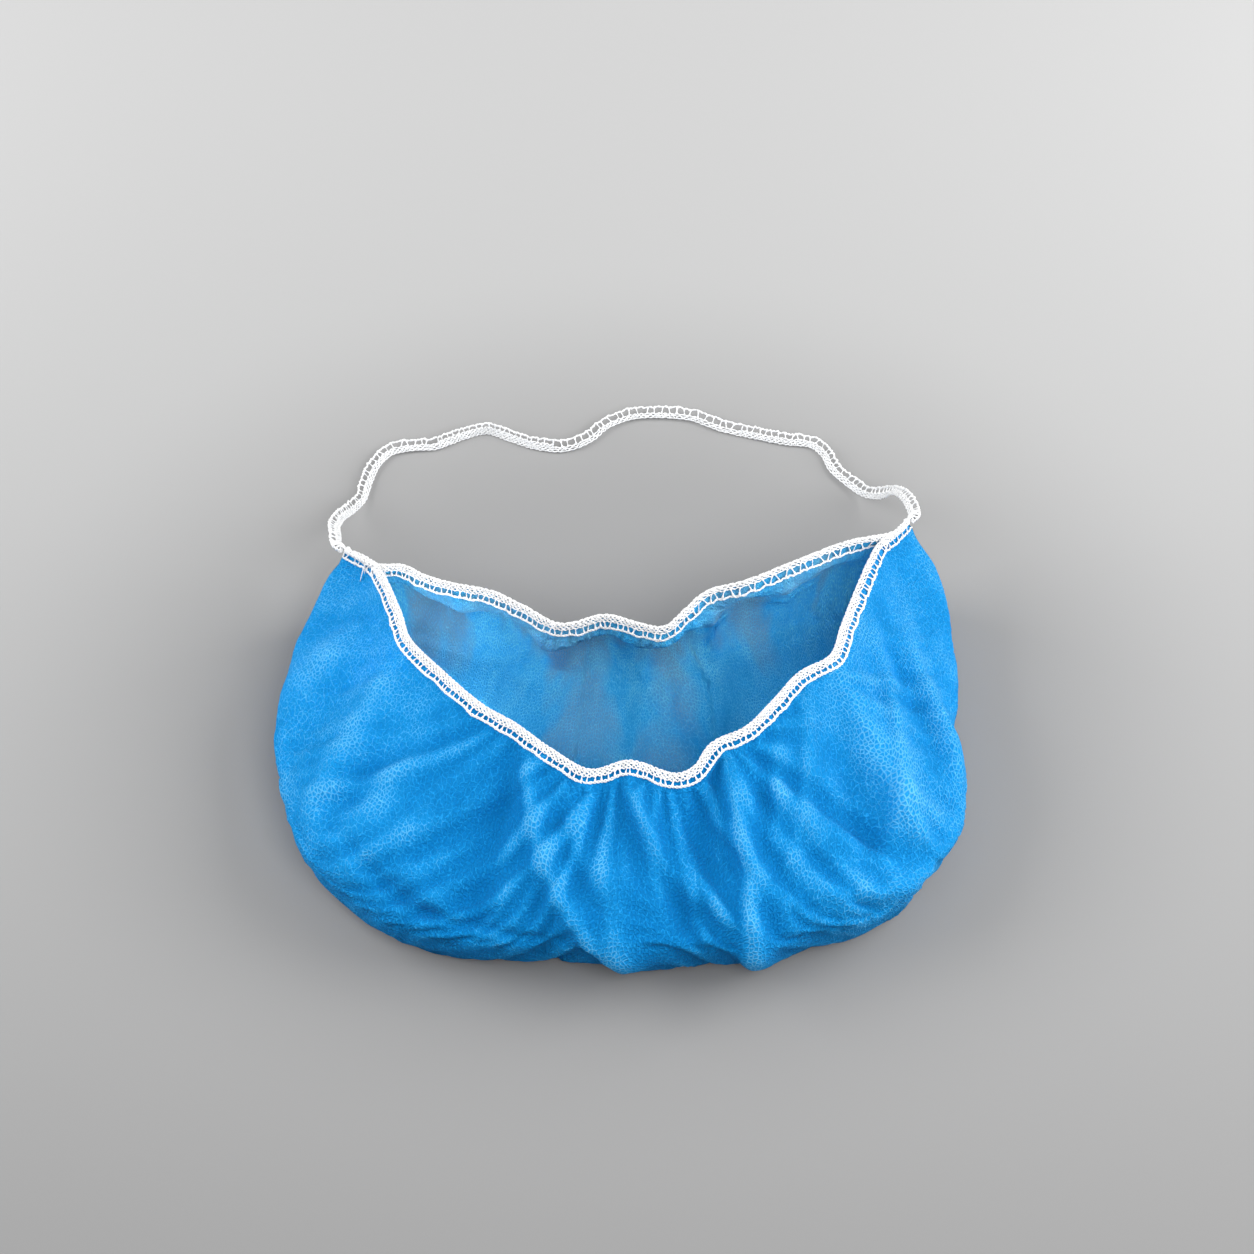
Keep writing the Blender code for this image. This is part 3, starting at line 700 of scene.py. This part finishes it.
# Radius of each thread, the height of its middle over the cloth, and how far it sways or bows
YARN_RADIUS, YARN_LIFT, YARN_SWAY = 0.00028, 0.00026, 0.00013
CHAIN_RADIUS, CHAIN_LIFT, CHAIN_SWAY, CHAIN_BOW = 0.00027, 0.00024, 0.00018, 0.00016
CROSS_RADIUS, CROSS_LIFT, CROSS_BOW = 0.00030, 0.00026, 0.00020
SLANTED_RADIUS, SLANTED_LIFT, SLANTED_BOW = 0.00017, 0.00052, 0.00010
LOOSE_RADIUS, LOOSE_LIFT, LOOSE_BOW = 0.00026, 0.0006, 0.0009
# How many times a stretch's width, a yarn's place and a chain's place change along a stretch
WIDTH_CHANGES, YARN_CHANGES, CHAIN_CHANGES = 70, 90, 60


class Threads:
    """Collects round threads into one mesh."""

    def __init__(self):
        self.corners, self.faces, self.count = [], [], 0

    def add(self, points, refs, radius, sides=6):
        """A thread through the points, whose refs are the ways out of the band there."""
        ahead = unit(np.gradient(points, axis=0))
        across = unit(np.cross(ahead, refs))
        lift = np.cross(across, ahead)
        turns = 2 * np.pi * np.arange(sides) / sides
        radius = np.broadcast_to(radius, len(points))
        ring = (across[:, None, :] * np.cos(turns)[None, :, None]
                + lift[:, None, :] * np.sin(turns)[None, :, None]) * radius[:, None, None]
        self.corners.append((points[:, None, :] + ring).reshape(-1, 3))
        for step in range(len(points) - 1):
            start = self.count + step * sides
            for side in range(sides):
                first, second = start + side, start + (side + 1) % sides
                self.faces.append((first, second, second + sides, first + sides))
        self.faces.append(tuple(range(self.count + sides - 1, self.count - 1, -1)))
        last = self.count + (len(points) - 1) * sides
        self.faces.append(tuple(range(last, last + sides)))
        self.count += len(points) * sides

    def object(self, name, material):
        mesh = bpy.data.meshes.new(name)
        mesh.from_pydata(np.vstack(self.corners).tolist(), [], self.faces)
        mesh.shade_smooth()
        mesh.materials.append(material)
        return put_in_scene(name, mesh)


class Lip:
    """Places on the cloth's edge: by the length along it, the depth down it and the lift off it.
    Depth is above 0 on the outer face and below 0 on the inner one."""

    def __init__(self, columns_along):
        self.edge = rim_line[columns_along]
        self.down = down[columns_along]
        across = unit(np.gradient(self.edge, axis=0))
        self.out = unit(np.cross(self.down, across))
        self.reach = length_along(self.edge)

    def place(self, s, depth, lift):
        s = np.atleast_1d(s).astype(float)
        depth, lift = np.broadcast_to(depth, s.shape), np.broadcast_to(lift, s.shape)
        edge, down, out = [at_lengths(rows, self.reach, s) for rows in (self.edge, self.down, self.out)]
        down, out = unit(down), unit(out)
        bend = EDGE_BEND + lift
        turn = np.clip(depth / bend, -np.pi / 2, np.pi / 2)
        past = np.maximum(np.abs(depth) - bend * np.pi / 2, 0.0) - PAST_EDGE
        spots = edge + out * (bend * np.sin(turn))[:, None] + down * (past - bend * np.cos(turn))[:, None]
        refs = unit(out * np.sin(turn)[:, None] - down * np.cos(turn)[:, None])
        return spots, refs


look = Look("white_elastic")
look.feed(look.shader, {"Roughness": 0.75, "Specular IOR Level": 0.25, "Sheen Weight": 0.3,
                        "Subsurface Weight": 0.25, "Subsurface Radius": (0.0006, 0.0006, 0.0006)})
spot = look.add("TexCoord", {}).outputs["Object"]
fuzz = look.cloudy(spot, 2200.0, 3.0)
white = look.ramp(fuzz, (0.3, (0.58, 0.59, 0.60)), (0.7, (0.86, 0.86, 0.86)))
bump = look.add("Bump", {"Strength": 0.6, "Distance": 0.0001, "Height": fuzz}).outputs["Normal"]
look.feed(look.shader, {"Base Color": white, "Normal": bump})
white_elastic = look.material


def knit(threads, place, start, end, width, chance, dense, pitch, slant=0.15, ends=(0.0, 0.0)):
    """One layer of knitted elastic: thick with yarn up to the share of its width called dense,
    then a row of open cells between cross threads, and a chain of stitches along the other edge.
    Place gives points and the way out, for lengths along it, widths across it and lifts off it.
    Pitch is a stitch's length, and ends are the lengths over which it narrows at start and end."""
    steps = np.arange(start, end, THREAD_STEP)
    lines = round(dense * width / YARN_ROOM)
    sway = chance.uniform(-1, 1, WIDTH_CHANGES)

    def outline(s):
        narrow = eased((s - start) / max(ends[0], 1e-6)) * eased((end - s) / max(ends[1], 1e-6))
        swayed = 1 + 0.09 * np.interp(s, np.linspace(start, end, WIDTH_CHANGES), sway)
        return width * swayed * (0.3 + 0.7 * narrow)

    def changing(count):
        return np.interp(steps, np.linspace(start, end, count), chance.uniform(-1, 1, count))

    for line in range(lines):
        phase = np.pi * line + chance.uniform(-0.6, 0.6)
        beat = 2 * np.pi * steps / (pitch * 0.8) + phase
        drift = changing(YARN_CHANGES)
        middle = (0.05 + (dense - 0.05) * line / (lines - 1)) * outline(steps)
        across = middle + YARN_SWAY * drift + YARN_SWAY * np.sin(beat)
        spots, refs = place(steps, across, YARN_LIFT + YARN_SWAY * np.cos(beat))
        puff = 0.25 * np.sin(beat + 1.2) * (0.6 + 0.4 * drift)
        threads.add(spots, refs, YARN_RADIUS * (1 + puff))
    for phase in (0.0, np.pi):
        beat = 2 * np.pi * steps / pitch + phase
        across = outline(steps) * (0.93 + 0.025 * changing(CHAIN_CHANGES)) + CHAIN_SWAY * np.sin(beat)
        spots, refs = place(steps, across, CHAIN_LIFT + CHAIN_BOW * np.cos(beat))
        threads.add(spots, refs, CHAIN_RADIUS * (1 + 0.2 * np.sin(2 * beat)))
    share = np.linspace(0, 1, 8)
    bow = np.sin(np.pi * share)
    for number, s in enumerate(np.arange(start + pitch, end - pitch, pitch)):
        nudge = chance.uniform(-0.24, 0.24, 2) * pitch
        lean = slant * (1 if number % 2 else -1)
        path = s + nudge[0] + (lean * pitch + nudge[1]) * (share - 0.5)
        across = outline(s) * (dense - 0.04 + (0.96 - dense) * share)
        spots, refs = place(path, across, CROSS_LIFT + CROSS_BOW * bow)
        thick = CROSS_RADIUS * chance.uniform(0.75, 1.35)
        threads.add(spots, refs, thick * (1 + 0.45 * np.cos(2 * np.pi * share)))
        for lean in (0.8, -0.6):
            path = s + nudge[1] + lean * pitch * share
            across = outline(s) * dense * (0.05 + 0.95 * share)
            spots, refs = place(path, across, SLANTED_LIFT + SLANTED_BOW * bow)
            threads.add(spots, refs, SLANTED_RADIUS, sides=5)


def sew_band(threads, lip, start, end, chance, **stitches):
    """Both layers of the edging between two places along a lip."""
    for face in (1, -1):
        def on_face(s, across, lift):
            return lip.place(s, face * across, lift)

        knit(threads, on_face, start, end, BAND_DEPTH, chance, **stitches)


near_lip = Lip(np.arange(CORNER_COLUMNS, CORNER_COLUMNS + LIP_COLUMNS + 1))
far_lip = Lip(columns + np.arange(columns)[::-1])
near_length, far_length = near_lip.reach[-1], far_lip.reach[-1]
JOIN = 0.040                        # where the near band meets the far one, as a share of the lip
UNDER_JOIN = 0.012                  # share of the lip that the far band runs on past there
NEAR_TURN, FAR_TURN = 0.86, 0.60    # where each band's knitting grows more open, as shares of its lip
OVERLAP = 0.001                     # of a band's two stretches
threads = Threads()
chance = np.random.default_rng(3)
turn = near_length * NEAR_TURN
sew_band(threads, near_lip, near_length * JOIN, turn + OVERLAP, chance, dense=0.52, pitch=0.0022,
         ends=(0.004, 0.0))
sew_band(threads, near_lip, turn, near_length * (1 - JOIN), chance, dense=0.36, pitch=0.0027,
         ends=(0.0, 0.006))
front_band = threads.object("front_edging_elastic", white_elastic)
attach(front_band, "root")
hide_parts("front_edging")

threads = Threads()
chance = np.random.default_rng(4)
turn = far_length * FAR_TURN
sew_band(threads, far_lip, 0.0, turn + OVERLAP, chance, dense=0.46, pitch=0.0023)
sew_band(threads, far_lip, turn, far_length, chance, dense=0.34, pitch=0.0030, slant=0.45)
# In the closed corners it holds both layers of cloth, so it lies on the near one too
corner_length = near_length * (JOIN + UNDER_JOIN)
for start, end in ((0.0, corner_length), (near_length - corner_length, near_length)):
    knit(threads, near_lip.place, start, end, BAND_DEPTH, chance, dense=0.44, pitch=0.0026)
# Two cut ends of thread are left at the left corner, and come out of the band at this depth
LOOSE_FROM = 0.0025
LOOSE_ENDS = [
    # along the lip, length, swing
    (0.0110, 0.0085, 0.0008),
    (0.0145, 0.0045, -0.0030),
]
share = np.linspace(0, 1, 14)
for s, length, swing in LOOSE_ENDS:
    path = s + swing * np.sin(2.4 * share)
    lift = LOOSE_LIFT + LOOSE_BOW * np.sin(np.pi * share)
    spots, refs = near_lip.place(path, LOOSE_FROM + length * share, lift)
    threads.add(spots, refs, LOOSE_RADIUS * (1 - 0.4 * share))
back_band = threads.object("back_edging_elastic", white_elastic)
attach(back_band, "root")
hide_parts("back_edging")

# The head loop is a narrow band of the same knitted elastic, loose on the surface behind the
# pouch. It is sewn into the edging at each closed corner.
LOOP_WIDTH = 0.0050
LOOP_ROUTE = [
    (-0.1070, 0.0853, 0.0364),
    (-0.1088, 0.0963, 0.0275),
    (-0.1083, 0.1088, 0.0175),
    (-0.1060, 0.1195, 0.0085),
    (-0.1027, 0.1290, 0.0036),
    (-0.1010, 0.1385, 0.0024),
    (-0.0985, 0.1470, 0.0024),
    (-0.0935, 0.1540, 0.0024),
    (-0.0855, 0.1570, 0.0024),
    (-0.0745, 0.1579, 0.0024),
    (-0.0640, 0.1628, 0.0024),
    (-0.0537, 0.1658, 0.0024),
    (-0.0445, 0.1622, 0.0024),
    (-0.0340, 0.1580, 0.0024),
    (-0.0225, 0.1568, 0.0024),
    (-0.0130, 0.1612, 0.0024),
    (-0.0060, 0.1684, 0.0024),
    (0.0040, 0.1735, 0.0024),
    (0.0160, 0.1747, 0.0024),
    (0.0300, 0.1730, 0.0024),
    (0.0409, 0.1677, 0.0024),
    (0.0540, 0.1638, 0.0024),
    (0.0670, 0.1605, 0.0024),
    (0.0778, 0.1588, 0.0024),
    (0.0832, 0.1533, 0.0024),
    (0.0860, 0.1460, 0.0024),
    (0.0910, 0.1395, 0.0026),
    (0.0968, 0.1325, 0.0042),
    (0.1016, 0.1268, 0.0090),
    (0.1054, 0.1213, 0.0170),
    (0.1070, 0.1145, 0.0260),
    (0.1083, 0.1065, 0.0345),
    (0.1098, 0.0980, 0.0408),
]
LEFT_SEAT, LEFT_AWAY = (-0.10323, 0.07422, 0.04007), (-0.725, 0.595, 0.347)
RIGHT_SEAT, RIGHT_AWAY = (0.10943, 0.08591, 0.04307), (0.555, 0.756, 0.347)
LOOP_LEAD = 0.003                   # how far it runs straight away from its seats in the corners
LOOP_STEP = 0.0005                  # between the points of its middle line
HALF_LAYER = 0.0003                 # half the thickness of a knitted layer
# Lean of the band from the level, in degrees, at shares of its length
LOOP_LEAN = [(0.00, 40), (0.06, 30), (0.13, 55), (0.20, 24), (0.28, 30), (0.36, 60), (0.42, 50), (0.50, 26),
             (0.60, 28), (0.66, 46), (0.74, 36), (0.80, 22), (0.87, 52), (0.93, 22), (1.00, 40)]
LOOP_STRETCHES = [
    # start, end, dense, pitch
    (0.00, 0.10, 0.42, 0.0030),
    (0.10, 0.31, 0.46, 0.0027),
    (0.31, 0.44, 0.58, 0.0024),
    (0.44, 0.66, 0.38, 0.0031),
    (0.66, 0.80, 0.48, 0.0026),
    (0.80, 1.00, 0.44, 0.0029),
]
route = smooth_curve([LEFT_SEAT, np.add(LEFT_SEAT, np.multiply(LEFT_AWAY, LOOP_LEAD))] + LOOP_ROUTE
                     + [np.add(RIGHT_SEAT, np.multiply(RIGHT_AWAY, LOOP_LEAD)), RIGHT_SEAT])
loop_length = length_along(route)[-1]
route = at_shares(route, np.linspace(0, 1, round(loop_length / LOOP_STEP) + 1))
loop_reach = length_along(route)
ahead = unit(np.gradient(route, axis=0))
shares = loop_reach / loop_length
lean = np.radians(np.interp(shares, *zip(*LOOP_LEAN)))
level = unit(np.cross(ahead, np.array([0, 0, -1.0])))      # away from the middle of the loop
rise = np.cross(level, ahead)
rise *= np.sign(rise[:, 2:])
across = level * np.cos(lean)[:, None] + rise * np.sin(lean)[:, None]
facing = np.cross(ahead, across)


def on_loop(s, side, lift):
    """Places on the loop: by the length along it, the side from its middle and the lift off it."""
    s = np.atleast_1d(s).astype(float)
    side, lift = np.reshape(side, (-1, 1)), np.reshape(lift, (-1, 1))
    middle, aside, out = [at_lengths(rows, loop_reach, s) for rows in (route, across, facing)]
    out = unit(out)
    return middle + aside * side + out * lift, out


def from_loop_edge(s, side, lift):
    """The same, with the side counted from the loop's edge and the lift from its inner face."""
    return on_loop(s, side - LOOP_WIDTH / 2, lift - HALF_LAYER)


threads = Threads()
chance = np.random.default_rng(5)
for start, end, dense, pitch in LOOP_STRETCHES:
    knit(threads, from_loop_edge, loop_length * start, loop_length * end + LOOP_STEP, LOOP_WIDTH, chance,
         dense=dense, pitch=pitch)

# Each end is bound with turns of thread, and strands tie it to the edging's corner
BINDING_RADIUS = 0.00034            # of the thread
BINDING_LENGTH, BINDING_TURNS = 0.0045, 7
BINDING_HALF_WIDTH, BINDING_HALF_HEIGHT = 0.0023, 0.0009
STRANDS, STRAND_GAP, STRAND_ASIDE, STRAND_BOW = 7, 0.0007, 0.0006, 0.0007
binding = np.linspace(0, 1, 90)
turned = 2 * np.pi * BINDING_TURNS * binding
way = np.linspace(0, 1, 9)[:, None]
for seat, away, corner in ((0.0, 1, near_lip.edge[0]), (loop_length, -1, near_lip.edge[-1])):
    spots, refs = on_loop(seat + away * BINDING_LENGTH * binding, BINDING_HALF_WIDTH * np.cos(turned),
                          BINDING_HALF_HEIGHT * np.sin(turned))
    threads.add(spots, refs, BINDING_RADIUS)
    for strand in range(STRANDS):
        tied = seat + away * STRAND_GAP * (strand + 1)
        first, ref = on_loop(tied, STRAND_ASIDE * (strand % 3 - 1), STRAND_BOW)
        spots = first + (corner - first) * way + ref * np.sin(np.pi * way) * STRAND_BOW
        threads.add(spots, np.repeat(ref, len(way), axis=0), BINDING_RADIUS)
head_band = threads.object("head_loop_elastic", white_elastic)
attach(head_band, "root")
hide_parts("head_loop")

# The studio is a pale sweep, painted darker towards the front as painted light falloff, and with painted
# shade round the pouch.
# It has a large soft light on each side, the stronger one on the right, and weaker ones above the pouch and
# in front of it.
FLOOR_REACH, FLOOR_HEIGHT = 4.0, -0.0001
FLOOR_CORNERS = ((-1, -1), (1, -1), (1, 1), (-1, 1))
PALING = (-0.20, 0.45)              # where the painted light falloff on the sweep is darkest and palest, from front to back
GREYS = ((0.0, 0.195), (0.43, 0.290), (1.0, 0.460))    # its tones at shares of the way between
SHADE_HALF_SIZE = (0.195, 0.165)    # of the oval of painted shade round the pouch
mesh = bpy.data.meshes.new("studio_floor")
corners = [(x * FLOOR_REACH, y * FLOOR_REACH, FLOOR_HEIGHT) for x, y in FLOOR_CORNERS]
mesh.from_pydata(corners, [], [(0, 1, 2, 3)])
floor = put_in_scene("studio_floor", mesh)
look = Look("pale_sweep")
spot = look.add("TexCoord", {}).outputs["Object"]
from_front = look.add("SeparateXYZ", {0: spot}).outputs["Y"]
paling = look.add("MapRange", {"Value": from_front, "From Min": PALING[0], "From Max": PALING[1]})
grey = look.ramp(paling.outputs[0], *((position, (tone,) * 3) for position, tone in GREYS))
# Painted shade: the sweep is a little darker round the pouch, as under a large light close above it
oval = look.add("VectorMath", {0: spot, 1: (1 / SHADE_HALF_SIZE[0], 1 / SHADE_HALF_SIZE[1], 0.0),
                               2: (0.0, -0.30, 0.0)}, operation="MULTIPLY_ADD").outputs[0]
away = look.add("VectorMath", {0: oval}, operation="LENGTH").outputs["Value"]
shade = look.add("MapRange", {"Value": away, "From Min": 0.45, "From Max": 1.30, "To Min": 0.74,
                              "To Max": 1.0}, interpolation_type="SMOOTHSTEP").outputs[0]
shaded = look.add("VectorMath", {0: grey, "Scale": shade}, operation="SCALE").outputs[0]
look.feed(look.shader, {"Roughness": 0.9, "Base Color": shaded})
mesh.materials.append(look.material)


def soft_light(name, place, aim, size, power):
    light = bpy.data.lights.new(name, "AREA")
    light.shape = "SQUARE"
    light.size = size
    light.energy = power
    item = put_in_scene(name, light)
    item.location = place
    item.rotation_euler = (Vector(aim) - Vector(place)).to_track_quat("-Z", "Y").to_euler()
    item.visible_camera = False


soft_light("right_light", (0.85, 0.12, 0.52), (0.03, 0.03, 0.0), 0.8, 13.5)
soft_light("left_light", (-0.85, 0.12, 0.52), (-0.03, 0.03, 0.0), 0.8, 12.0)
soft_light("top_light", (0.10, -0.10, 0.90), (0.0, 0.05, 0.0), 0.7, 1.5)
soft_light("front_light", (0.20, -0.60, 0.82), (0.0, 0.05, 0.0), 0.5, 6.5)
# Two faint lights in the pouch stand for the light that comes through the thin near wall
soft_light("left_glow", (-0.070, 0.008, 0.028), (-0.080, 0.060, 0.012), 0.02, 0.034)
soft_light("right_glow", (0.076, 0.010, 0.028), (0.086, 0.060, 0.014), 0.02, 0.017)
world = bpy.data.worlds.new("studio_air")
world.use_nodes = True
background = world.node_tree.nodes["Background"]
background.inputs["Color"].default_value = (1.0, 1.0, 1.0, 1.0)
background.inputs["Strength"].default_value = 0.20
bpy.context.scene.world = world
bpy.context.scene.view_settings.view_transform = "Standard"

# The camera looks down at the cover from the front. The picture's width and the camera's focal
# length are in pixels of the photograph.
PICTURE_WIDTH, FOCAL_LENGTH = 1254.0, 2600.0
SENSOR_WIDTH = 36.0
ELEVATION, DISTANCE = np.radians(54.0), 1.0
AIM = Vector((0.0031, 0.06798, 0.0))
lens = bpy.data.cameras.new("camera")
lens.lens = SENSOR_WIDTH * FOCAL_LENGTH / PICTURE_WIDTH
lens.sensor_width = SENSOR_WIDTH
camera = put_in_scene("camera", lens)
camera.location = AIM + Vector((0.0, -np.cos(ELEVATION), np.sin(ELEVATION))) * DISTANCE
camera.rotation_euler = (AIM - camera.location).to_track_quat("-Z", "Y").to_euler()
bpy.context.scene.camera = camera
